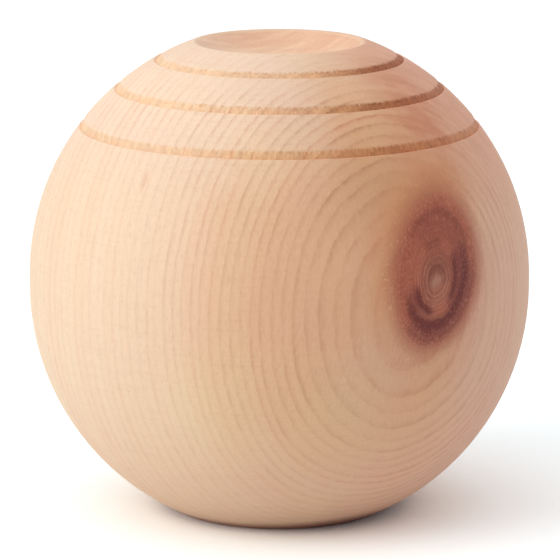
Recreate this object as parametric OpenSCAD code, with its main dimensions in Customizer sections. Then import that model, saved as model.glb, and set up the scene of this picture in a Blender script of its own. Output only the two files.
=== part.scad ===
// Turned wooden ball with a dished top and three ring grooves.
// One solid piece of softwood, turned between centres. A narrow straight band is left at its waist,
// between two half balls. Its foot is cut flat so that it stands, its crown is hollowed to a shallow
// dish with a soft rim, and three narrow grooves run level round the shoulder. Each groove is deepest
// just above its lower lip, where the tool's point went in, and rises from there to its upper lip.
// Millimetres. The foot rests on z = 0, its centre is the origin, and +z is the turning axis.

/* [Ball] */
// Greatest diameter, at the waist
body_d = 100; // [90:1:120]
// Height of the straight band between the two half balls
waist_h = 2; // [0.5:0.1:4]

/* [Foot] */
// Diameter of the flat that touches the table
foot_d = 42; // [30:1:56]
// Radius of the softened edge round the flat
foot_edge_r = 1.5; // [0.5:0.1:3]

/* [Dished top] */
// Diameter over the crest of the rim
rim_d = 34; // [24:1:44]
// Radius of the rounded rim
rim_r = 1.2; // [0.6:0.1:2.5]
// Depth of the hollow below the crest
dish_depth = 4.5; // [2.5:0.1:8]

/* [Ring grooves] */
// Drop from the crest to the lower lip of the top groove
groove_top_drop = 3.6; // [3.5:0.1:5]
// Step from the top groove's lower lip down to the middle one's
groove_mid_step = 5.7; // [3:0.1:8]
// Step from the middle groove's lower lip down to the lowest one's
groove_low_step = 7.5; // [3:0.1:10]
// Width of each groove along the side
groove_w = 1.9; // [1:0.1:3]
// Greatest depth of each groove, square to the side
groove_d = 0.4; // [0.2:0.1:1.2]

/* [Hidden] */
$fn = 256;
wood = [0.88, 0.72, 0.55];
// The rounding arcs stand out this much from the curves they join, so that they cross cleanly.
blend = 0.002;

function unit(v) = v / norm(v);

// The section is drawn with x out from the axis and y up from the middle of the waist.
body_r = body_d / 2;
upper_c = [0, waist_h / 2];
lower_c = -upper_c;
// Place on the upper half ball, or so deep under it, by its angle above the waist
function side_at(turn, depth) = upper_c + (body_r - depth) * [cos(turn), sin(turn)];
// Height, over the centre of its half ball, of an arc set in from the side at radius x
function inset_y(x, inset) = sqrt(pow(body_r - inset, 2) - x * x);

// Foot: the softened edge is an arc that runs into both the flat and the lower half ball.
foot_edge_x = foot_d / 2 - sqrt(pow(foot_edge_r, 2) - pow(foot_edge_r - blend, 2));
foot_edge_c = [foot_edge_x, lower_c[1] - inset_y(foot_edge_x, foot_edge_r - blend)];
foot_y = foot_edge_c[1] - foot_edge_r + blend;

// Rim: an arc that runs into both the upper half ball and the dish, which is part of a sphere.
rim_c = [rim_d / 2, upper_c[1] + inset_y(rim_d / 2, rim_r - blend)];
crest_y = rim_c[1] + rim_r;
dish_to_rim = (pow(rim_d / 2, 2) + pow(dish_depth - blend, 2)) / (2 * (dish_depth - blend));
dish_r = dish_to_rim - rim_r + blend;
dish_c = [0, crest_y - dish_depth + dish_r];

// Grooves: heights of their lower lips, from the top one down.
groove_y = [
    crest_y - groove_top_drop,
    crest_y - groove_top_drop - groove_mid_step,
    crest_y - groove_top_drop - groove_mid_step - groove_low_step
];

// The blank: two quarter discs to the right of the axis, with the straight band between them.
module blank_section() {
    intersection() {
        translate(upper_c) circle(r = body_r);
        translate(upper_c) square(body_d);
    }
    intersection() {
        translate(lower_c) circle(r = body_r);
        translate(lower_c - [0, body_d]) square(body_d);
    }
    translate(lower_c) square([body_r, waist_h]);
}

// A sharp corner between the directions a and b, seen from the centre of its rounding arc.
module corner_section(centre, r, a, b) {
    translate(centre)
        polygon([[0, 0], 2 * r * a, 4 * r * unit(a + b), 2 * r * b]);
}

// A groove with its lower lip at height y: the two lips and the deepest place, drawn on outwards.
module groove_section(y) {
    low_turn = asin((y - upper_c[1]) / body_r);
    wide_turn = groove_w / body_r * 180 / PI;
    low_lip = side_at(low_turn, 0);
    high_lip = side_at(low_turn + wide_turn, 0);
    deepest = side_at(low_turn + wide_turn / 8, groove_d);
    polygon([deepest, 2 * low_lip - deepest, 2 * high_lip - deepest]);
}

// Half the turned section.
module ball_section() {
    difference() {
        union() {
            difference() {
                blank_section();
                translate(dish_c) circle(r = dish_r);
                corner_section(rim_c, rim_r, unit(rim_c - upper_c), unit(dish_c - rim_c));
                corner_section(foot_edge_c, foot_edge_r, [0, -1], unit(foot_edge_c - lower_c));
            }
            translate(rim_c) circle(r = rim_r);
            translate(foot_edge_c) circle(r = foot_edge_r);
        }
        // the flat foot
        translate([-body_d, foot_y - body_d]) square([2 * body_d, body_d]);
        // the three grooves
        for (y = groove_y) groove_section(y);
    }
}

module ball() {
    color(wood)
        translate([0, 0, -foot_y]) rotate_extrude() ball_section();
}

ball();
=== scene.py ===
# %% [markdown]
# # A turned pine ball
# The object is one piece of softwood: a ball with a flat foot, a shallow dish in its crown and
# three narrow grooves round its shoulder. This lesson turns it on a lathe made of Geometry Nodes
# and then grows the wood inside it: a trunk, its year rings, one branch and the knot it leaves.

# %% Load the frame
import math

import bpy
from mathutils import Matrix, Vector


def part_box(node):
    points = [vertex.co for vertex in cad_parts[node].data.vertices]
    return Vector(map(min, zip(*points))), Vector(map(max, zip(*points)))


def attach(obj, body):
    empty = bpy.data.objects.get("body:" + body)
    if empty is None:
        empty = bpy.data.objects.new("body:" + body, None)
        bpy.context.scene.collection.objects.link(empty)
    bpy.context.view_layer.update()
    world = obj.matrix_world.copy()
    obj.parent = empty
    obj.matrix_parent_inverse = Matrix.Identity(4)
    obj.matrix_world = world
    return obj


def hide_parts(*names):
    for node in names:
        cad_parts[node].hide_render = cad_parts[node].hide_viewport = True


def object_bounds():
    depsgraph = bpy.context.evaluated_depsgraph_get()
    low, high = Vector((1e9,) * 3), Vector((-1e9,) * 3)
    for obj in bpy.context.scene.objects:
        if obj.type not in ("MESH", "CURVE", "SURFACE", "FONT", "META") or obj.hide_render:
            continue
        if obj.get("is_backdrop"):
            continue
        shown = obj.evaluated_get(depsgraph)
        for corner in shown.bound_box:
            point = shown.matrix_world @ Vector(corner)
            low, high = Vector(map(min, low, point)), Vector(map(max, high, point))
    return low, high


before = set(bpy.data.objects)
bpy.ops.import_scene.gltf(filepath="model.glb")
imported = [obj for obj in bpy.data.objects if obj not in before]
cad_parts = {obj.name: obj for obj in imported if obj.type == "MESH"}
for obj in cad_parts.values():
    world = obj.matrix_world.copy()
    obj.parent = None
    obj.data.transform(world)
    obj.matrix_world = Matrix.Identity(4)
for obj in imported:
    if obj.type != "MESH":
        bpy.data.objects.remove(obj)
cad_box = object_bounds()
MM = 0.001
low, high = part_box("ball")
print("ball measures", [round((b - a) / MM, 1) for a, b in zip(low, high)], "mm")

# %% [markdown]
# ## The camera
# The ball was seen with a long lens from a little above. From far off, the level grooves show as
# flat ellipses of nearly the same shape, and how flat they are gives the camera's height. The
# camera is aimed a hair below the ball's middle, so that the framing needs no lens shift.

# %% Camera
WAIST_Z = 46.255 * MM
CAMERA_DISTANCE = 800 * MM
CAMERA_RISE = math.radians(11.83)
LENS_MM = 256.4
SENSOR_MM = 36.0
AIM_RIGHT = 0.13 * MM
AIM_DROP = 0.4 * MM

camera_data = bpy.data.cameras.new("camera")
camera_data.lens = LENS_MM
camera_data.sensor_width = SENSOR_MM
camera = bpy.data.objects.new("camera", camera_data)
bpy.context.collection.objects.link(camera)
towards_camera = Vector((0.0, -math.cos(CAMERA_RISE), math.sin(CAMERA_RISE)))
aim = Vector((AIM_RIGHT, 0.0, WAIST_Z - AIM_DROP))
camera.location = aim + CAMERA_DISTANCE * towards_camera
camera.rotation_euler = (-towards_camera).to_track_quat("-Z", "Y").to_euler()
bpy.context.scene.camera = camera
print("camera at", [round(c, 3) for c in camera.location])

# %% [markdown]
# ## Short words for nodes
# The stage, the lathe and the wood are all node trees. Written out in full, each node takes three
# or four lines, so this small class gives them one-word names.

# %% Node helper
class Tree:
    """Adds nodes to one node tree. A value may be a number, a colour or another node's output."""

    def __init__(self, tree):
        self.tree = tree

    def link(self, value, socket):
        if isinstance(value, bpy.types.NodeSocket):
            self.tree.links.new(value, socket)
        elif value is not None:
            socket.default_value = value

    def node(self, kind, *values, **settings):
        made = self.tree.nodes.new(kind)
        for name, setting in settings.items():
            setattr(made, name, setting)
        for value, socket in zip(values, made.inputs):
            self.link(value, socket)
        return made

    def named(self, made, **values):
        """Sets inputs by name, with _ for a space."""
        for name, value in values.items():
            self.link(value, made.inputs[name.replace("_", " ")])
        return made

    def math(self, operation, a, b=None, c=None, clamp=False):
        return self.node("ShaderNodeMath", a, b, c, operation=operation, use_clamp=clamp).outputs[0]

    def vector(self, operation, a, b=None):
        made = self.node("ShaderNodeVectorMath", a, b, operation=operation)
        return made.outputs["Value" if operation in ("LENGTH", "DOT_PRODUCT") else "Vector"]

    def step(self, value, start, end, low=0.0, high=1.0):
        """A soft step from low at start to high at end."""
        made = self.node("ShaderNodeMapRange", interpolation_type="SMOOTHSTEP")
        self.named(made, Value=value, From_Min=start, From_Max=end, To_Min=low, To_Max=high)
        return made.outputs["Result"]

    def noise(self, place, scale, detail=2.0, roughness=0.5, dimensions="3D"):
        made = self.node("ShaderNodeTexNoise", noise_dimensions=dimensions)
        self.link(place, made.inputs["W" if dimensions == "1D" else "Vector"])
        self.named(made, Scale=scale, Detail=detail, Roughness=roughness)
        return made

    def mix(self, share, a, b, blend="MIX"):
        """Mixes two colours."""
        made = self.node("ShaderNodeMix", data_type="RGBA", blend_type=blend)
        self.link(share, made.inputs[0])
        for tone, socket in ((a, made.inputs[6]), (b, made.inputs[7])):
            self.link(tone if isinstance(tone, bpy.types.NodeSocket) else (*tone, 1.0), socket)
        return made.outputs[2]

    def ramp(self, value, stops, between="LINEAR"):
        """A colour ramp from pairs of place and colour or grey."""
        made = self.node("ShaderNodeValToRGB", value)
        ramp = made.color_ramp
        ramp.interpolation = between
        while len(ramp.elements) < len(stops):
            ramp.elements.new(0.5)
        for element, (place, tone) in zip(ramp.elements, stops):
            element.position = place
            element.color = (*(tone if isinstance(tone, tuple) else (tone,) * 3), 1.0)
        return made.outputs["Color"]

    def seen(self):
        """1 for rays that show something: from the camera, by a gloss or through glass."""
        paths = self.node("ShaderNodeLightPath").outputs
        shown = self.math("ADD", paths["Is Camera Ray"], paths["Is Glossy Ray"])
        return self.math("ADD", shown, paths["Is Transmission Ray"], clamp=True)


# %% [markdown]
# ## Light and stage
# One large soft lamp stands at the left, a little in front and above, and a weak one behind the
# right shoulder lifts that edge. White surroundings, brightest overhead, fill the shadows. The floor
# and the sky are brighter to the rays that show them. The wood gets no more light for that, and the
# floor still darkens under the ball.

# %% Lamps
def soft_lamp(name, direction, distance, size, power):
    """A square area lamp that looks at the ball's middle."""
    data = bpy.data.lights.new(name, "AREA")
    data.size = size
    data.energy = power
    lamp = bpy.data.objects.new(name, data)
    bpy.context.collection.objects.link(lamp)
    way = Vector(direction).normalized()
    lamp.location = Vector((0.0, 0.0, WAIST_Z)) + distance * way
    lamp.rotation_euler = (-way).to_track_quat("-Z", "Y").to_euler()
    print(name, "of", power, "W at", [round(c, 2) for c in lamp.location])


soft_lamp("key_lamp", direction=(-0.79, -0.41, 0.45), distance=0.9, size=0.7, power=3.9)
soft_lamp("edge_lamp", direction=(0.85, 0.50, 0.30), distance=0.9, size=0.7, power=0.4)

# %% White surroundings
SKY_OVERHEAD = 1.12

world = bpy.data.worlds.new("white_room")
bpy.context.scene.world = world
world.use_nodes = True
sky = Tree(world.node_tree)
backdrop = world.node_tree.nodes["Background"]
backdrop.inputs["Color"].default_value = (1.0, 1.0, 1.0, 1.0)
sky_way = sky.node("ShaderNodeTexCoord").outputs["Generated"]
sky_height = sky.node("ShaderNodeSeparateXYZ", sky_way).outputs["Z"]
sky_height = sky.math("MAXIMUM", sky_height, 0.0)
sky_strength = sky.node("ShaderNodeMix", sky.seen())
sky.named(sky_strength, A=sky.math("MULTIPLY", sky_height, SKY_OVERHEAD), B=1.0)
sky.link(sky_strength.outputs[0], backdrop.inputs["Strength"])
print("sky has", len(world.node_tree.nodes), "nodes")

# %% White floor
FLOOR_SIZE = 6.0
FLOOR_LIGHT = (0.88, 0.88, 0.88)
FLOOR_SEEN = (1.26, 1.34, 1.37)

bpy.ops.mesh.primitive_plane_add(size=FLOOR_SIZE)
floor = bpy.context.object
floor.name = "floor"
paper = bpy.data.materials.new("white_paper")
paper.use_nodes = True
paper.node_tree.nodes.clear()
p = Tree(paper.node_tree)
matt = p.node("ShaderNodeBsdfDiffuse", p.mix(p.seen(), FLOOR_LIGHT, FLOOR_SEEN))
p.node("ShaderNodeOutputMaterial", matt.outputs[0])
floor.data.materials.append(paper)
floor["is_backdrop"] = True
bpy.context.scene.view_settings.view_transform = "Standard"
print("floor is", FLOOR_SIZE, "m wide")

# %% [markdown]
# ## The half section
# A turner thinks in half sections: the outline of one side, from the middle of the foot to the
# middle of the dish. It is drawn here as a chain of points, with arcs where the wood is round.
# Each point carries two marks. `groove` is 1 on the long wall of a groove, where the pointed tool
# left torn fibres, and `lip` is 1 along a groove's upper edge, where they chipped.

# %% Section sizes
BODY_R = 50.0
WAIST_H = 2.0
FOOT_R = 21.0
FOOT_EDGE_R = 1.5
RIM_R = 17.0
RIM_ROUND = 1.2
DISH_DEPTH = 4.5
GROOVE_DROPS = (16.8, 9.3, 3.6)
GROOVE_W = 1.9
GROOVE_D = 0.4
GROOVE_LEAD = 0.12

LOWER_Z = WAIST_Z / MM - WAIST_H / 2
UPPER_Z = WAIST_Z / MM + WAIST_H / 2
CREST_Z = UPPER_Z + math.sqrt((BODY_R - RIM_ROUND) ** 2 - RIM_R**2) + RIM_ROUND
print("crest at", round(CREST_Z, 2), "mm, CAD top at", round(high[2] / MM, 2), "mm")

# %% Section points
section = []


def point(x, z, groove=0.0, lip=0.0):
    section.append((x, z, groove, lip))


def arc(x, z, radius, start, end, steps):
    """Points on an arc after its first, by angles in radians from the outward direction."""
    for i in range(1, steps + 1):
        turn = start + (end - start) * i / steps
        point(x + radius * math.cos(turn), z + radius * math.sin(turn))


def side_turn(z):
    """Angle on the upper half ball at height z."""
    return math.asin((z - UPPER_Z) / BODY_R)


def cut_groove(low_turn):
    """A steep side behind the lower lip, then a long wall that rises to the upper lip."""
    for along, depth, groove, lip in (
        (0.0, 0.08, 0.0, 0.0), (0.06, 0.4, 0.5, 0.0), (0.125, 1.0, 1.0, 0.0), (0.3, 0.8, 1.0, 0.0),
        (0.48, 0.59, 1.0, 0.1), (0.65, 0.4, 0.95, 0.3), (0.8, 0.23, 0.75, 0.6), (0.92, 0.09, 0.5, 0.9),
        (1.0, 0.01, 0.3, 1.0), (1.07, 0.0, 0.0, 1.0), (1.35, 0.0, 0.0, 0.4),
    ):
        turn = low_turn + along * GROOVE_W / BODY_R
        reach = BODY_R - depth * GROOVE_D
        point(reach * math.cos(turn), UPPER_Z + reach * math.sin(turn), groove, lip)
    return turn


# %% Draw the section
for share in (0.0, 0.4, 0.8, 1.0):
    point(FOOT_R * share, 0.0)
foot_turn = math.atan2(FOOT_EDGE_R - LOWER_Z, FOOT_R)
arc(FOOT_R, FOOT_EDGE_R, FOOT_EDGE_R, -math.pi / 2, foot_turn, 4)
arc(0.0, LOWER_Z, BODY_R, foot_turn, 0.0, 20)
point(BODY_R, UPPER_Z)
turn = 0.0
for drop, steps in zip(GROOVE_DROPS, (14, 6, 5)):
    low_turn = side_turn(CREST_Z - drop)
    arc(0.0, UPPER_Z, BODY_R, turn, low_turn - GROOVE_LEAD / BODY_R, steps)
    turn = cut_groove(low_turn)
rim_z = CREST_Z - RIM_ROUND
rim_turn = math.atan2(rim_z - UPPER_Z, RIM_R)
arc(0.0, UPPER_Z, BODY_R, turn, rim_turn, 5)
dish_reach = (RIM_R**2 + DISH_DEPTH**2) / (2 * DISH_DEPTH)
dish_z = CREST_Z - DISH_DEPTH + dish_reach - RIM_ROUND
dish_turn = math.atan2(dish_z - rim_z, -RIM_R)
arc(RIM_R, rim_z, RIM_ROUND, rim_turn, dish_turn, 6)
arc(0.0, dish_z, dish_reach - RIM_ROUND, dish_turn - math.pi, -math.pi / 2, 10)
print("section has", len(section), "points")

# %% Section mesh
section_mesh = bpy.data.meshes.new("half_section")
chain = [(i, i + 1) for i in range(len(section) - 1)]
section_mesh.from_pydata([(x * MM, 0.0, z * MM) for x, z, *_ in section], chain, [])
for place, mark in ((2, "groove"), (3, "lip")):
    marks = section_mesh.attributes.new(mark, "FLOAT", "POINT")
    marks.data.foreach_set("value", [spot[place] for spot in section])
ball = bpy.data.objects.new("turned_ball", section_mesh)
bpy.context.collection.objects.link(ball)

# %% [markdown]
# ## The lathe
# A lathe turns a section into a solid. In Geometry Nodes the same is done with a flat grid that
# has one row for every section point: each grid point looks up its section point and is swung
# round the axis by its column. Where the grid's edges meet, and at the two poles, the points are
# merged. Then only the grooves are roughened: the tool tore the upright fibres of their walls and
# chipped their upper edges.

# %% Lathe inputs
lathe = bpy.data.node_groups.new("lathe", "GeometryNodeTree")
inputs = {}
for name, kind in (
    ("Section", "Geometry"), ("Columns", "Int"), ("Tear depth", "Float"), ("Chip height", "Float"),
    ("Fibre width", "Float"), ("Seed", "Float"), ("Wood", "Material"),
):
    inputs[name] = lathe.interface.new_socket(
        name, in_out="INPUT", socket_type="NodeSocket" + kind
    ).identifier
lathe.interface.new_socket("Ball", in_out="OUTPUT", socket_type="NodeSocketGeometry")
g = Tree(lathe)
given = g.node("NodeGroupInput").outputs
print("lathe takes", ", ".join(inputs))

# %% Wrap a grid round the axis
WELD = 0.002 * MM

rows = g.node("GeometryNodeAttributeDomainSize", given["Section"]).outputs["Point Count"]
sheet = g.node("GeometryNodeMeshGrid")
g.named(sheet, Vertices_X=g.math("ADD", given["Columns"], 1.0), Vertices_Y=rows)
index = g.node("GeometryNodeInputIndex").outputs[0]
row = g.math("MODULO", index, rows)
column = g.math("FLOOR", g.math("DIVIDE", index, rows))
swing = g.math("MULTIPLY", g.math("DIVIDE", column, given["Columns"]), math.tau)


def look_up(kind, value):
    """A value of the section's points, read at this grid point's row."""
    reader = g.node("GeometryNodeSampleIndex", data_type=kind)
    return g.named(reader, Geometry=given["Section"], Value=value, Index=row).outputs[0]


def read_mark(name):
    return g.node("GeometryNodeInputNamedAttribute", name, data_type="FLOAT").outputs[0]


def keep_mark(mesh, name):
    keeper = g.node("GeometryNodeStoreNamedAttribute", mesh, data_type="FLOAT", domain="POINT")
    g.named(keeper, Name=name, Value=look_up("FLOAT", read_mark(name)))
    return keeper.outputs[0]


spot = look_up("FLOAT_VECTOR", g.node("GeometryNodeInputPosition").outputs[0])
spot = g.node("ShaderNodeSeparateXYZ", spot).outputs
across = g.math("MULTIPLY", spot["X"], g.math("COSINE", swing))
along = g.math("MULTIPLY", spot["X"], g.math("SINE", swing))
swung = g.node("ShaderNodeCombineXYZ", across, along, spot["Z"]).outputs[0]
marked = keep_mark(keep_mark(sheet.outputs["Mesh"], "groove"), "lip")
wrapped = g.named(g.node("GeometryNodeSetPosition", marked), Position=swung).outputs[0]
closed = g.named(g.node("GeometryNodeMergeByDistance", wrapped), Distance=WELD).outputs[0]

# %% Tear the grooves
FIBRE_STRETCH = 0.15
CHIP_TO_FIBRE = 1.6
CHIP_SEED_STEP = 7.0

here = g.node("GeometryNodeInputPosition").outputs[0]
from_middle = g.vector("SUBTRACT", here, (0.0, 0.0, UPPER_Z * MM))
facing = g.vector("NORMALIZE", from_middle)
lean = g.vector("MULTIPLY", facing, g.node("ShaderNodeSeparateXYZ", facing).outputs["Z"])
uphill = g.vector("NORMALIZE", g.vector("SUBTRACT", (0.0, 0.0, 1.0), lean))
upright = g.vector("MULTIPLY", here, (1.0, 1.0, FIBRE_STRETCH))


def fibres(width, seed_step):
    """Upright streaks of the given width, from 0 to 1."""
    made = g.noise(upright, g.math("DIVIDE", 1.0, width), 2.0, 0.6, "4D")
    g.named(made, W=g.math("ADD", given["Seed"], seed_step))
    return g.step(made.outputs["Fac"], 0.3, 0.7)


tear = g.math("MULTIPLY", fibres(given["Fibre width"], 0.0), read_mark("groove"))
tear = g.math("MULTIPLY", tear, g.math("MULTIPLY", given["Tear depth"], -1.0))
chip_width = g.math("MULTIPLY", given["Fibre width"], CHIP_TO_FIBRE)
chip = g.math("MULTIPLY", fibres(chip_width, CHIP_SEED_STEP), read_mark("lip"))
chip = g.math("MULTIPLY", chip, given["Chip height"])
moved = g.vector("ADD", g.vector("MULTIPLY", facing, tear), g.vector("MULTIPLY", uphill, chip))
torn = g.named(g.node("GeometryNodeSetPosition", closed), Offset=moved).outputs[0]

# %% Smooth it and give it its wood
CREASE = math.radians(40)

edge_angle = g.node("GeometryNodeInputMeshEdgeAngle").outputs["Unsigned Angle"]
smooth = g.node("GeometryNodeSetShadeSmooth", torn, domain="EDGE")
g.named(smooth, Shade_Smooth=g.math("LESS_THAN", edge_angle, CREASE))
whole = g.node("GeometryNodeRealizeInstances", smooth.outputs[0]).outputs[0]
finished = g.named(g.node("GeometryNodeSetMaterial", whole), Material=given["Wood"])
g.node("NodeGroupOutput", finished.outputs[0])
print("lathe has", len(lathe.nodes), "nodes")

# %% [markdown]
# ## The wood
# Wood isn't painted on: the rings, the branch and the fibres fill the block, and the lathe only
# uncovers them. So the material works in three dimensions. A Mapping node moves the ball's Object
# coordinates into the trunk's own frame, where a year ring is a distance from the pith, and a
# second one into the branch's frame, where the knot is a set of ovals.

# %% Wood material and its coordinates
pine = bpy.data.materials.new("pine")
pine.use_nodes = True
pine.node_tree.nodes.clear()
w = Tree(pine.node_tree)


def colour(red, green, blue):
    """A colour from screen values of 0 to 255, made linear."""
    parts = [v / 255 for v in (red, green, blue)]
    return tuple(v / 12.92 if v < 0.0405 else ((v + 0.055) / 1.055) ** 2.4 for v in parts)


in_ball = w.vector("MULTIPLY", w.node("ShaderNodeTexCoord").outputs["Object"], (1 / MM,) * 3)

# %% [markdown]
# ### Year rings
# The trunk's pith lies outside the ball, towards the viewer's right, and leans a little. The rings
# are nearly flat sheets there, so the ball cuts them in tall ovals at the front right and in almost
# upright lines on the left. They are narrow on the pith's side and wider further out, and a
# logarithm counts rings whose width grows evenly. In each, pale early wood darkens slowly into late
# wood, and then the next year starts at once. Some years are stronger than others, and all of them
# change with the place: strong near the pith and low on the right, faint at the upper right.

# %% Trunk frame
PITH_BEARING = math.radians(30.8)
PITH_FAR = 155.0
PITH_LEAN_SIDE = 5.35 / 50
PITH_LEAN_IN = -2.6 / 50

to_pith = Vector((math.sin(PITH_BEARING), -math.cos(PITH_BEARING), 0.0))
beside = Vector((math.cos(PITH_BEARING), math.sin(PITH_BEARING), 0.0))
upright_axis = Vector((0.0, 0.0, 1.0))
trunk_axis = (upright_axis + PITH_LEAN_SIDE * beside + PITH_LEAN_IN * to_pith).normalized()
trunk = w.node("ShaderNodeMapping", in_ball, vector_type="TEXTURE")
trunk.inputs["Location"].default_value = PITH_FAR * to_pith + upright_axis * WAIST_Z / MM
trunk.inputs["Rotation"].default_value = upright_axis.rotation_difference(trunk_axis).to_euler()
in_trunk = trunk.outputs[0]
trunk_z = w.node("ShaderNodeSeparateXYZ", in_trunk).outputs["Z"]
trunk_side = w.vector("DOT_PRODUCT", in_trunk, beside)
print("pith leans", round(math.degrees(trunk_axis.angle(upright_axis)), 1), "degrees")

# %% Count the rings
RING_START = 103.4
RING_WIDTH = 1.3
RING_GROWTH = 0.018

from_pith = w.vector("LENGTH", w.vector("MULTIPLY", in_trunk, (1.0, 1.0, 0.0)))
waver = w.noise(w.vector("MULTIPLY", in_trunk, (1.0, 1.0, 0.4)), 0.05, 2.0).outputs["Fac"]
waved = w.math("MULTIPLY_ADD", w.math("SUBTRACT", waver, 0.5), 1.4, from_pith)
unrest = w.noise(w.vector("MULTIPLY", in_trunk, (1.0, 1.0, 0.3)), 0.6, 4.0, 0.7).outputs["Fac"]
unrest_force = w.step(trunk_z, 16.0, 38.0, 0.5, 0.7)
waved = w.math("MULTIPLY_ADD", w.math("SUBTRACT", unrest, 0.5), unrest_force, waved)
grown = w.math("MAXIMUM", w.math("SUBTRACT", waved, RING_START), 0.0)
rings = w.math("LOGARITHM", w.math("MULTIPLY_ADD", grown, RING_GROWTH / RING_WIDTH, 1.0), math.e)
rings = w.math("DIVIDE", rings, RING_GROWTH)
uneven = w.noise(rings, 0.35, 1.0, 0.5, "1D").outputs["Fac"]
rings = w.math("MULTIPLY_ADD", w.math("SUBTRACT", uneven, 0.5), 0.7, rings)
ring_count = math.log(1 + 2 * BODY_R * RING_GROWTH / RING_WIDTH) / RING_GROWTH
print("about", round(ring_count), "rings cross the ball")

# %% Late wood
late_wood = w.ramp(
    w.math("FRACT", rings),
    [(0.0, 0.1), (0.3, 0.03), (0.5, 0.14), (0.7, 0.55), (0.85, 1.0), (0.94, 0.85), (1.0, 0.1)],
)
year_force = w.noise(w.math("FLOOR", rings), 0.73, 0.0, 0.5, "1D").outputs["Fac"]
patchy = w.noise(w.vector("MULTIPLY", in_trunk, (1.0, 1.0, 0.2)), 0.09, 2.0).outputs["Fac"]
year_force = w.step(year_force, 0.3, 0.7, 0.7, 1.2)
year_force = w.math("MULTIPLY", year_force, w.step(patchy, 0.3, 0.7, 0.7, 1.15))
broken = w.noise(w.vector("MULTIPLY", in_trunk, (1.0, 1.0, 0.35)), 0.5, 2.0, 0.6).outputs["Fac"]
year_force = w.math("MULTIPLY", year_force, w.step(broken, 0.3, 0.7, 0.5, 1.25))

# %% Where the years are strong
near_foot = w.step(trunk_z, -2.0, -24.0)
near_pith = w.step(from_pith, 142.0, 112.0, w.math("MULTIPLY_ADD", near_foot, 0.2, 0.36), 1.0)
low_right = w.math("MULTIPLY", near_foot, w.step(trunk_side, -8.0, 10.0))
low_band = w.math("MULTIPLY", w.step(trunk_z, 37.0, 41.0), w.step(trunk_z, 48.0, 45.0))
high_right = w.math("MULTIPLY", w.step(trunk_side, -10.0, 4.0), w.step(trunk_z, 28.0, 36.0))
near_crown = w.step(trunk_z, 8.0, 30.0, 1.0, 1.45)
near_crown = w.math("MULTIPLY", near_crown, w.step(trunk_z, 45.0, 49.0, 1.0, 0.65))
for place, gain in ((near_foot, -0.3), (low_right, 0.9), (low_band, 0.45), (high_right, -0.5)):
    near_crown = w.math("MULTIPLY", near_crown, w.math("MULTIPLY_ADD", place, gain, 1.0))
year_force = w.math("MULTIPLY", year_force, w.math("MULTIPLY", near_pith, near_crown))
late_share = w.math("MULTIPLY", late_wood, year_force)

# %% [markdown]
# ### Colour from bark to pith
# The outer wood, at the left, is a pale cream. It turns peach and then tan towards the pith, and
# the side beyond the branch is pinker. Soft patches drift from that, a resin streak climbs from the
# branch along the fibres, and end grain in the dish is darker. Painted shade darkens the back left of
# the dish and the foot's edge, the foot most on the right, and a painted highlight lightens the rim.

# %% Tones and tints
SAPWOOD = colour(245, 219, 188)
CREAM = colour(244, 211, 180)
PEACH = colour(239, 199, 164)
TAN = colour(234, 186, 149)
PALE_FOOT = colour(243, 209, 179)
PALE_CROWN = colour(246, 218, 193)
PINK_SIDE = colour(236, 193, 167)
PINK_SHOULDER = colour(228, 169, 141)
RESIN_STREAK = colour(212, 138, 104)
LATE_WOOD = colour(196, 138, 100)
LATE_PINK = colour(206, 136, 104)
LOW_RIGHT_TINT = (1.01, 0.95, 0.96)
YELLOW_TINT = (1.0, 1.01, 0.97)
PINK_TINT = (1.0, 0.985, 1.01)
BROWN_TINT = (0.88, 0.81, 0.75)
YEAR_TINT = (1.0, 0.97, 0.965)

# %% From bark to pith
drift = w.noise(w.vector("MULTIPLY", in_trunk, (1.0, 1.0, 0.5)), 0.035, 3.0, 0.55).outputs["Fac"]
bark_way = w.math("MULTIPLY_ADD", w.math("SUBTRACT", drift, 0.5), 10.0, from_pith)
bark_way = w.node("ShaderNodeMapRange", bark_way, 104.0, 152.0, 0.0, 1.0).outputs["Result"]
tone = w.ramp(
    bark_way,
    [(0.0, TAN), (0.25, TAN), (0.42, PEACH), (0.6, CREAM), (1.0, SAPWOOD)],
    "B_SPLINE",
)
tone = w.mix(w.step(trunk_side, 2.0, 22.0, 0.0, 0.9), tone, PINK_SIDE)
tone = w.mix(w.step(trunk_z, -6.0, -34.0, 0.0, 0.6), tone, PALE_FOOT)
tone = w.mix(low_right, tone, LOW_RIGHT_TINT, "MULTIPLY")
pale_crown = w.step(trunk_z, 24.0, 40.0, 0.0, 0.75)
pale_crown = w.math("MULTIPLY", pale_crown, w.step(trunk_side, -8.0, -18.0))
tone = w.mix(pale_crown, tone, PALE_CROWN)
hue_drift = w.noise(w.vector("MULTIPLY", in_trunk, (1.0, 1.0, 0.4)), 0.06, 1.0).outputs["Fac"]
hue_tint = w.mix(w.step(hue_drift, 0.35, 0.65), YELLOW_TINT, PINK_TINT)
tone = w.mix(w.step(from_pith, 138.0, 118.0), tone, hue_tint, "MULTIPLY")

# %% Soft patches
# Each one has its side and height in the trunk, its reach in both ways, and its tint.
SOFT_PATCHES = (
    (-25.0, -12.0, 22.0, 18.0, (1.02, 1.085, 1.03)),
    (-9.0, -6.0, 11.0, 14.0, (0.99, 1.04, 1.1)),
    (-19.0, 36.0, 19.0, 10.0, (0.99, 0.96, 0.89)),
    (-3.0, 42.0, 18.0, 11.0, (1.07, 1.08, 1.06)),
    (-33.0, 44.0, 14.0, 10.0, (1.04, 1.05, 1.04)),
)

on_front = w.node("ShaderNodeCombineXYZ", trunk_side, trunk_z, 0.0).outputs[0]
for side, height, side_reach, height_reach, tint in SOFT_PATCHES:
    spread = w.vector("SUBTRACT", on_front, (side, height, 0.0))
    spread = w.vector("DIVIDE", spread, (side_reach, height_reach, 1.0))
    tone = w.mix(w.step(w.vector("LENGTH", spread), 1.0, 0.2), tone, tint, "MULTIPLY")

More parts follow.
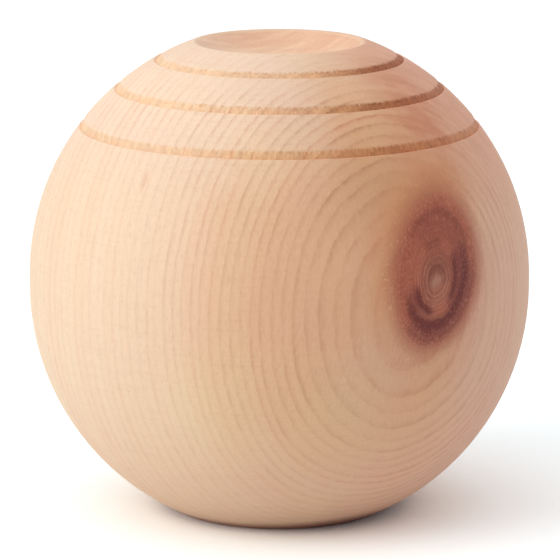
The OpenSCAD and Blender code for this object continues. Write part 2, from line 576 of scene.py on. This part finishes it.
# %% Above the branch
ball_x, ball_y, ball_z = w.node("ShaderNodeSeparateXYZ", in_ball).outputs
from_axis = w.vector("LENGTH", w.vector("MULTIPLY", in_ball, (1.0, 1.0, 0.0)))
in_dish = w.math("MULTIPLY", w.step(from_axis, RIM_R + 0.2, RIM_R - 0.8), w.step(ball_z, 84.0, 88.0))
brown_side = w.math("ABSOLUTE", w.math("ADD", trunk_side, 7.0))
brown_share = w.math("MULTIPLY", w.step(brown_side, 22.0, 4.0), w.step(trunk_z, 16.0, 32.0))
brown_share = w.math("MULTIPLY", brown_share, w.step(from_pith, 142.0, 112.0))
tone = w.mix(brown_share, tone, BROWN_TINT, "MULTIPLY")
over_band = w.math("MAXIMUM", w.math("SUBTRACT", trunk_z, 44.0), 0.0)
shoulder_side = w.math("MULTIPLY_ADD", over_band, 0.6, trunk_side)
shoulder = w.math("MULTIPLY", w.step(shoulder_side, -6.0, 14.0), w.step(trunk_z, 18.0, 46.0))
shoulder = w.math("MULTIPLY", shoulder, w.math("MULTIPLY_ADD", in_dish, -0.65, 1.0))
tone = w.mix(w.math("MULTIPLY", shoulder, 0.78), tone, PINK_SHOULDER)

# %% Resin streak
CLOUD_LIGHT = (1.03, 1.02, 1.01)
CLOUD_DARK = (0.96, 0.92, 0.89)

streak_side = w.math("ABSOLUTE", w.math("ADD", trunk_side, -7.0))
streak_share = w.math("MULTIPLY", w.step(streak_side, 12.0, 2.0), w.step(trunk_z, 8.0, 28.0))
streak_share = w.math("MULTIPLY", streak_share, w.step(from_pith, 138.0, 122.0))
in_year = w.node("ShaderNodeCombineXYZ", trunk_side, waved, trunk_z).outputs[0]
patch = w.noise(w.vector("MULTIPLY", in_year, (0.25, 1.0, 0.25)), 0.35, 3.0, 0.6).outputs["Fac"]
streak_force = w.math("MULTIPLY", streak_share, w.step(patch, 0.32, 0.66, 0.25, 0.75))
tone = w.mix(streak_force, tone, RESIN_STREAK)
cloudy = w.mix(w.step(patch, 0.4, 0.62), CLOUD_LIGHT, CLOUD_DARK)
tone = w.mix(shoulder, tone, cloudy, "MULTIPLY")

# %% Draw the years
late_hue = w.noise(w.math("FLOOR", rings), 1.37, 0.0, 0.5, "1D").outputs["Fac"]
late_tone = w.mix(w.step(late_hue, 0.42, 0.58), LATE_WOOD, LATE_PINK)
late_share = w.math("MULTIPLY", late_share, w.math("MULTIPLY_ADD", brown_share, 0.05, 0.31))
tone = w.mix(late_share, tone, late_tone)
year_hue = w.noise(rings, 0.45, 1.0, 0.5, "1D").outputs["Fac"]
tone = w.mix(w.step(year_hue, 0.35, 0.65), tone, YEAR_TINT, "MULTIPLY")

# %% End grain and painted shade in the dish, a painted rim highlight, painted shade at the foot
DISH_LIGHT = (1.04, 1.0, 0.98)
DISH_DARK = (0.97, 0.86, 0.82)
# Painted shade for the dish's back left wall, which turns away from the key lamp.
PAINTED_DISH_SHADE = (0.93, 0.83, 0.83)
# Painted shade at the foot's edge: lighter on the left, deep on the right, away from the lamp.
PAINTED_FOOT_SHADE_LEFT = (0.62, 0.45, 0.44)
PAINTED_FOOT_SHADE_RIGHT = (0.34, 0.19, 0.21)

dish_streak = w.noise(w.vector("MULTIPLY", in_year, (0.2, 1.0, 0.2)), 0.45, 3.0, 0.65).outputs["Fac"]
dish_tone = w.mix(w.step(dish_streak, 0.34, 0.64), DISH_LIGHT, DISH_DARK)
tone = w.mix(in_dish, tone, dish_tone, "MULTIPLY")
# Painted shade: the back left of the dish is darkened where its wall faces away from the lamp.
dish_shade_share = w.math("MULTIPLY", w.step(ball_x, 8.0, -12.0), w.step(ball_y, 4.0, 14.0))
tone = w.mix(w.math("MULTIPLY", in_dish, dish_shade_share), tone, PAINTED_DISH_SHADE, "MULTIPLY")
# Painted highlight: a pale line along the rim's crest, where it faces up into the overhead light.
painted_rim_highlight = w.step(w.math("ABSOLUTE", w.math("SUBTRACT", from_axis, RIM_R - 0.5)), 0.8, 0.2)
painted_rim_highlight = w.math("MULTIPLY", painted_rim_highlight, w.step(ball_z, 92.5, 93.5))
tone = w.mix(w.math("MULTIPLY", painted_rim_highlight, 0.35), tone, SAPWOOD)
# Painted contact shade: the lowest few millimetres darken, higher up and darker on the right.
painted_foot_shade = w.mix(w.step(ball_x, -8.0, 20.0), PAINTED_FOOT_SHADE_LEFT, PAINTED_FOOT_SHADE_RIGHT)
foot_shade_rise = w.step(ball_x, -8.0, 20.0, 2.4, 4.4)
tone = w.mix(w.step(ball_z, foot_shade_rise, 0.3), tone, painted_foot_shade, "MULTIPLY")

# %% [markdown]
# ### Fibres, flecks and the turner's lines
# Fine fibres run along the trunk, a mottle breaks them up, and the sandpaper left faint level lines
# as the ball spun. All three are noise, squeezed or stretched along the right direction. One fleck
# of pitch lies in a ring high on the left.

# %% Fine grain
FIBRE_DARK = colour(206, 150, 116)
FIBRE_LIGHT = colour(250, 226, 200)
LINE_DARK = colour(206, 154, 122)
MOTTLE_DARK = colour(206, 152, 118)
MOTTLE_LIGHT = colour(250, 224, 196)
FLECK = colour(206, 140, 100)

fibre = w.noise(w.vector("MULTIPLY", in_trunk, (1.0, 1.0, 0.04)), 2.6, 3.0, 0.65).outputs["Fac"]
tone = w.mix(w.step(fibre, 0.5, 0.8, 0.0, 0.16), tone, FIBRE_DARK)
tone = w.mix(w.step(fibre, 0.45, 0.2, 0.0, 0.10), tone, FIBRE_LIGHT)
level_lines = w.noise(w.vector("MULTIPLY", in_ball, (0.04, 0.04, 1.0)), 2.4, 2.0, 0.6).outputs["Fac"]
tone = w.mix(w.step(level_lines, 0.5, 0.75, 0.0, 0.10), tone, LINE_DARK)
mottle = w.noise(w.vector("MULTIPLY", in_trunk, (1.0, 1.0, 0.4)), 2.0, 2.0, 0.7).outputs["Fac"]
mottle_force = w.step(from_pith, 144.0, 120.0, 0.75, 1.0)
mottle_force = w.math("MULTIPLY", mottle_force, w.math("MULTIPLY_ADD", near_foot, -0.4, 1.0))
mottle_dark = w.math("MULTIPLY", w.step(mottle, 0.48, 0.75, 0.0, 0.22), mottle_force)
mottle_light = w.math("MULTIPLY", w.step(mottle, 0.46, 0.25, 0.0, 0.14), mottle_force)
tone = w.mix(mottle_dark, tone, MOTTLE_DARK)
tone = w.mix(mottle_light, tone, MOTTLE_LIGHT)
fleck = w.noise(w.vector("MULTIPLY", in_trunk, (1.0, 1.0, 0.3)), 0.42, 2.0, 0.6).outputs["Fac"]
tone = w.mix(w.step(fleck, 0.74, 0.80, 0.0, 0.30), tone, FLECK)

# %% Pitch
PITCH = colour(214, 142, 108)
PITCH_AT = (-43.0, 143.5, 29.0)
PITCH_REACH = (3.0, 0.8, 2.6)

from_pitch = w.node("ShaderNodeCombineXYZ", trunk_side, from_pith, trunk_z).outputs[0]
from_pitch = w.vector("DIVIDE", w.vector("SUBTRACT", from_pitch, PITCH_AT), PITCH_REACH)
pitch = w.step(w.vector("LENGTH", from_pitch), 1.2, 0.2, 0.0, 0.3)
tone = w.mix(pitch, tone, PITCH)

# %% [markdown]
# ### The knot
# A branch is a slim cone, and a cone cut at a slant shows ovals that all share one side: each one
# is taller than wide, and its middle lies a little above the core. That drift has an exact formula.
# The oval's size then picks the tone: a pale grey core, fine rings, red-brown wood and dark crescents
# of resin, with tan years between them. The rim fades over about 5 mm. Specks along the rays make it
# grainy, and a few pale chips lie at its left.

# %% Branch frame
KNOT_AT = (29.84, -39.41, WAIST_Z / MM + 7.49)
KNOT_LEAN = math.radians(17)
KNOT_TALL = 1.42
KNOT_DRIFT = 0.152

knot_out = Vector((KNOT_AT[0], KNOT_AT[1], KNOT_AT[2] - WAIST_Z / MM)).normalized()
knot_right = upright_axis.cross(knot_out).normalized()
knot_axes = Matrix((knot_right, knot_out.cross(knot_right), knot_out)).transposed()
branch = w.node("ShaderNodeMapping", in_ball, vector_type="TEXTURE")
branch.inputs["Location"].default_value = KNOT_AT
branch.inputs["Rotation"].default_value = (knot_axes @ Matrix.Rotation(-KNOT_LEAN, 3, "Z")).to_euler()
branch.inputs["Scale"].default_value = (1.0, KNOT_TALL, 1.0)
in_branch = branch.outputs[0]
knot_bearing = math.degrees(math.atan2(KNOT_AT[0], -KNOT_AT[1]))
print("knot lies", round(knot_bearing), "degrees to the right of the front")

# %% Oval size
slow = w.noise(in_branch, 0.22, 1.0).outputs["Color"]
quick = w.noise(in_branch, 1.3, 2.0, 0.6).outputs["Color"]
stir = w.vector("MULTIPLY", w.vector("SUBTRACT", slow, (0.5, 0.5, 0.5)), (1.0, 1.0, 0.0))
shake = w.vector("SUBTRACT", quick, (0.5, 0.5, 0.5))
stir = w.vector("ADD", stir, w.vector("MULTIPLY", shake, (0.35, 0.35, 0.0)))
knot = w.vector("MULTIPLY", w.vector("ADD", in_branch, stir), (1.0, 1.0, 0.0))
knot_x, knot_y, _ = w.node("ShaderNodeSeparateXYZ", knot).outputs
knot_far = w.vector("DOT_PRODUCT", knot, knot)
drifted = w.math("MULTIPLY", knot_y, KNOT_DRIFT)
root = w.math("MULTIPLY_ADD", knot_far, 1 - KNOT_DRIFT**2, w.math("MULTIPLY", drifted, drifted))
oval = w.math("SUBTRACT", w.math("SQRT", root), drifted)
oval = w.math("MAXIMUM", w.math("DIVIDE", oval, 1 - KNOT_DRIFT**2), 0.05)
side_way = w.math("DIVIDE", knot_x, oval)
up_way = w.math("SUBTRACT", w.math("DIVIDE", knot_y, oval), KNOT_DRIFT)
front = w.step(w.node("ShaderNodeSeparateXYZ", in_branch).outputs["Z"], -30.0, -20.0)


def towards(degrees, half_width, soft=16):
    """1 on one side of the knot, by its bearing from the right-hand side."""
    bearing = math.radians(degrees)
    agree = w.math("MULTIPLY", up_way, math.sin(bearing))
    agree = w.math("MULTIPLY_ADD", side_way, math.cos(bearing), agree)
    edges = [math.cos(math.radians(half_width + way * soft)) for way in (1, -1)]
    return w.step(agree, *edges)


def on_oval(size, half_width):
    """1 on the oval of one size, fading to 0 on both sides."""
    return w.step(w.math("ABSOLUTE", w.math("SUBTRACT", oval, size)), half_width, 0.2 * half_width)


# %% Knot tones
KNOT_RED = colour(176, 97, 75)
KNOT_CORE = colour(184, 129, 109)
KNOT_BROWN = colour(152, 87, 71)
KNOT_LIGHT = colour(200, 134, 110)
KNOT_DARK = colour(104, 40, 38)
KNOT_PURPLE = colour(130, 63, 57)
KNOT_TAN = colour(192, 122, 98)
KNOT_SPECK = colour(216, 146, 113)
KNOT_CHIP = colour(236, 188, 152)
KNOT_FRINGE = colour(222, 157, 108)
KNOT_HALO = (0.93, 0.87, 0.86)

lumpy = w.noise(in_branch, 0.55, 2.0, 0.6).outputs["Fac"]
core_lumps = w.noise(w.vector("MULTIPLY", in_branch, (1.0, 0.6, 1.0)), 1.1, 2.0, 0.6).outputs["Fac"]
lumpy_oval = w.math("MULTIPLY_ADD", w.math("SUBTRACT", core_lumps, 0.5), 2.4, oval)
knot_tone = w.ramp(
    w.math("DIVIDE", lumpy_oval, 10.0),
    [(0.0, KNOT_CORE), (0.05, KNOT_CORE), (0.17, KNOT_BROWN), (0.3, KNOT_BROWN), (0.44, KNOT_RED)],
)

# %% Resin crescents
shade = 0.0
for tone_of_it, size, half_width, bearing, spread, force in (
    (KNOT_PURPLE, 7.8, 3.2, -50, 66, 0.9),
    (KNOT_PURPLE, 5.4, 2.2, -122, 30, 0.75),
    (KNOT_PURPLE, 5.6, 2.8, 4, 38, 0.75),
    (KNOT_DARK, 6.9, 1.4, -52, 92, 0.8),
    (KNOT_DARK, 4.7, 1.1, -118, 32, 0.85),
    (KNOT_DARK, 4.6, 1.2, 6, 38, 0.85),
    (KNOT_TAN, 3.1, 1.8, -54, 42, 0.4),
    (KNOT_TAN, 1.3, 0.9, -60, 50, 0.5),
    (KNOT_TAN, 5.6, 0.7, -86, 30, 0.3),
    (KNOT_DARK, 1.8, 1.0, 110, 70, 0.3),
    (KNOT_PURPLE, 6.6, 2.6, 80, 60, 0.4),
    (KNOT_DARK, 8.3, 0.8, 92, 55, 0.35),
    (KNOT_DARK, 4.6, 1.0, 112, 14, 0.4),
):
    share = w.math("MULTIPLY", on_oval(size, half_width), towards(bearing, spread))
    share = w.math("MULTIPLY", share, force)
    knot_tone = w.mix(share, knot_tone, tone_of_it)
    if tone_of_it is KNOT_DARK:
        shade = w.math("MAXIMUM", shade, share)

# %% Fine years and specks
KNOT_RING = 0.72

crowded = w.noise(oval, 0.9, 1.0, 0.5, "1D").outputs["Fac"]
knot_year = w.math("MULTIPLY_ADD", w.math("SUBTRACT", crowded, 0.5), 1.2, oval)
knot_year = w.math("SINE", w.math("MULTIPLY", knot_year, math.tau / KNOT_RING))
knot_year = w.step(knot_year, 0.0, 1.0, 0.0, 0.7)
knot_year = w.math("MULTIPLY", knot_year, w.step(oval, 6.5, 3.0, 0.3, 1.0))
knot_year = w.math("MULTIPLY", knot_year, w.step(oval, 1.2, 2.0))
knot_year = w.math("MULTIPLY", knot_year, w.step(lumpy, 0.3, 0.6, 0.25, 1.0))
knot_year = w.math("MULTIPLY", knot_year, w.step(towards(95, 40, 40), 0.0, 1.0, 1.0, 0.4))
knot_year = w.math("MULTIPLY", knot_year, w.math("MULTIPLY_ADD", shade, -1.0, 1.0))
knot_tone = w.mix(knot_year, knot_tone, KNOT_LIGHT)
radial = w.node("ShaderNodeCombineXYZ", side_way, up_way, w.math("MULTIPLY", oval, 0.085)).outputs[0]
speck = w.noise(radial, 20.0, 2.0, 0.7).outputs["Fac"]
speck_force = w.step(oval, 6.0, 10.5, 0.24, 0.5)
knot_tone = w.mix(w.math("MULTIPLY", w.step(speck, 0.52, 0.72), speck_force), knot_tone, KNOT_SPECK)
knot_tone = w.mix(w.math("MULTIPLY", w.step(speck, 0.48, 0.3), speck_force), knot_tone, KNOT_DARK)

# %% Grainy rim
rim_left = towards(180, 50, 40)
rim_size = w.step(rim_left, 0.0, 1.0, 14.0, 13.6)
rim_size = w.math("MULTIPLY_ADD", w.math("SUBTRACT", speck, 0.5), 5.0, rim_size)
rim_inside = w.step(rim_left, 0.0, 1.0, 8.8, 8.0)
knot_share = w.math("MULTIPLY", w.step(oval, rim_size, rim_inside), front)

# %% Knot in the wood
fringe = w.math("MULTIPLY", w.step(oval, 18.0, 11.0), towards(145, 70, 35))
halo = w.math("MULTIPLY", w.step(oval, 20.0, 11.0), w.step(towards(75, 45, 30), 1.0, 0.0))
tone = w.mix(w.math("MULTIPLY", halo, front), tone, KNOT_HALO, "MULTIPLY")
fringe = w.math("MULTIPLY", w.math("MULTIPLY", fringe, front), 0.65)
tone = w.mix(fringe, tone, KNOT_FRINGE)
tone = w.mix(knot_share, tone, knot_tone)
chips = w.math("MULTIPLY", w.step(speck, 0.56, 0.68), on_oval(11.8, 2.4))
chips = w.math("MULTIPLY", w.math("MULTIPLY", chips, towards(198, 24, 20)), front)
tone = w.mix(w.math("MULTIPLY", chips, 0.6), tone, KNOT_CHIP)

# %% [markdown]
# ### Torn fibres in the grooves
# The long walls weren't sanded. Their torn ends soak up light, so they look more orange, with upright
# streaks and patches. The walls go from pale on the left to dark brown on the right: partly torn
# fibres, partly painted shade where the walls turn away from the lamp at the left. The marks that
# the lathe kept on the mesh say where the walls and their upper edges are.

# %% Groove tints
CLEAN_LIGHT = (1.0, 0.97, 0.88)
CLEAN_DARK = (0.96, 0.86, 0.71)
FRONT_LIGHT = (0.99, 0.90, 0.76)
FRONT_DARK = (0.86, 0.72, 0.57)
# Dark brown on the right: partly torn fibres, partly painted shade, away from the key lamp.
SHADED_TORN_LIGHT = (0.65, 0.40, 0.22)
SHADED_TORN_DARK = (0.38, 0.21, 0.12)
PATCH_LIGHT = (1.05, 1.03, 1.0)
PATCH_DARK = (0.95, 0.93, 0.93)
NOTCH_DARK = (0.86, 0.72, 0.62)

# %% Torn walls
groove = w.node("ShaderNodeAttribute", attribute_name="groove").outputs["Fac"]
torn_streak = w.noise(w.vector("MULTIPLY", in_ball, (1.0, 1.0, 0.12)), 1.9, 3.0, 0.65).outputs["Fac"]
clean_way = w.step(ball_x, -32.0, 8.0)
# Partly painted shade: the walls darken towards the right, away from the lamp, more so higher up.
shaded_torn_way = w.math("MULTIPLY", w.step(ball_x, 6.0, 20.0), w.step(ball_z, 76.0, 91.0, 0.3, 1.0))
torn_light = w.mix(shaded_torn_way, w.mix(clean_way, CLEAN_LIGHT, FRONT_LIGHT), SHADED_TORN_LIGHT)
torn_dark = w.mix(shaded_torn_way, w.mix(clean_way, CLEAN_DARK, FRONT_DARK), SHADED_TORN_DARK)
torn_tone = w.mix(w.step(torn_streak, 0.35, 0.7), torn_light, torn_dark)
torn_patch = w.noise(w.vector("MULTIPLY", in_ball, (1.0, 1.0, 0.5)), 0.4, 2.0).outputs["Fac"]
torn_patch = w.mix(w.step(torn_patch, 0.35, 0.65), PATCH_LIGHT, PATCH_DARK)
torn_tone = w.mix(1.0, torn_tone, torn_patch, "MULTIPLY")
ragged = w.math("MULTIPLY_ADD", w.math("SUBTRACT", torn_streak, 0.5), 0.8, groove)
surface = w.mix(w.step(ragged, 0.25, 0.85), tone, torn_tone, "MULTIPLY")

# %% Chipped upper edges
lip = w.node("ShaderNodeAttribute", attribute_name="lip").outputs["Fac"]
notch = w.math("MULTIPLY", w.step(lip, 0.2, 0.7), w.step(torn_streak, 0.52, 0.64))
notch = w.math("MULTIPLY", notch, w.math("MULTIPLY", w.step(groove, 0.05, 0.4), clean_way))
notch = w.math("MULTIPLY", notch, w.step(ball_z, 78.0, 84.0, 0.4, 0.9))
surface = w.mix(notch, surface, NOTCH_DARK, "MULTIPLY")

# %% [markdown]
# ### Finish
# The ball is sanded and left bare. Bare softwood has a dull, wide sheen that changes a little from
# fibre to fibre, and fibres that can just be felt. One noise drives both, so they agree.

# %% Sheen and touch
GLOSS = 0.3
TOUCH_FORCE = 0.12
TOUCH_DEPTH = 0.1 * MM

shader = w.node("ShaderNodeBsdfPrincipled", surface)
shader.inputs["Specular IOR Level"].default_value = GLOSS
w.link(w.math("MULTIPLY_ADD", fibre, 0.16, 0.5), shader.inputs["Roughness"])
touch = w.node("ShaderNodeBump")
w.named(touch, Strength=TOUCH_FORCE, Distance=TOUCH_DEPTH, Height=fibre)
w.link(touch.outputs[0], shader.inputs["Normal"])
w.node("ShaderNodeOutputMaterial", shader.outputs[0])
print("pine has", len(pine.node_tree.nodes), "nodes")

# %% [markdown]
# ## Turning the ball
# The modifier's inputs are set by their identifiers, then the evaluated object is turned into a
# plain mesh and the lathe is taken away. What is left is a mesh that stands for the CAD node.

# %% Turn it
turning = ball.modifiers.new("turning", "NODES")
turning.node_group = lathe
for name, value in (
    ("Columns", 900), ("Tear depth", 0.12 * MM), ("Chip height", 0.22 * MM),
    ("Fibre width", 0.8 * MM), ("Seed", 3.0), ("Wood", pine),
):
    turning[inputs[name]] = value
evaluated = ball.evaluated_get(bpy.context.evaluated_depsgraph_get())
turned = bpy.data.meshes.new_from_object(evaluated)
ball.modifiers.remove(turning)
ball.data = turned
turned.materials.clear()
turned.materials.append(pine)
turned.polygons.foreach_set("material_index", [0] * len(turned.polygons))
print("turned ball has", len(turned.polygons), "faces and", len(turned.vertices), "points")

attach(ball, "root")
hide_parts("ball")

# %% [markdown]
# ## Sizes
# The dressed ball must stay inside the CAD model's box. Both boxes are written out to compare.

# %% Compare the boxes
visual_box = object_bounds()
boxes = {"cad": cad_box, "visual": visual_box}
for name, box in boxes.items():
    print(name, "box in mm", [[round(v / MM, 3) for v in corner] for corner in box])
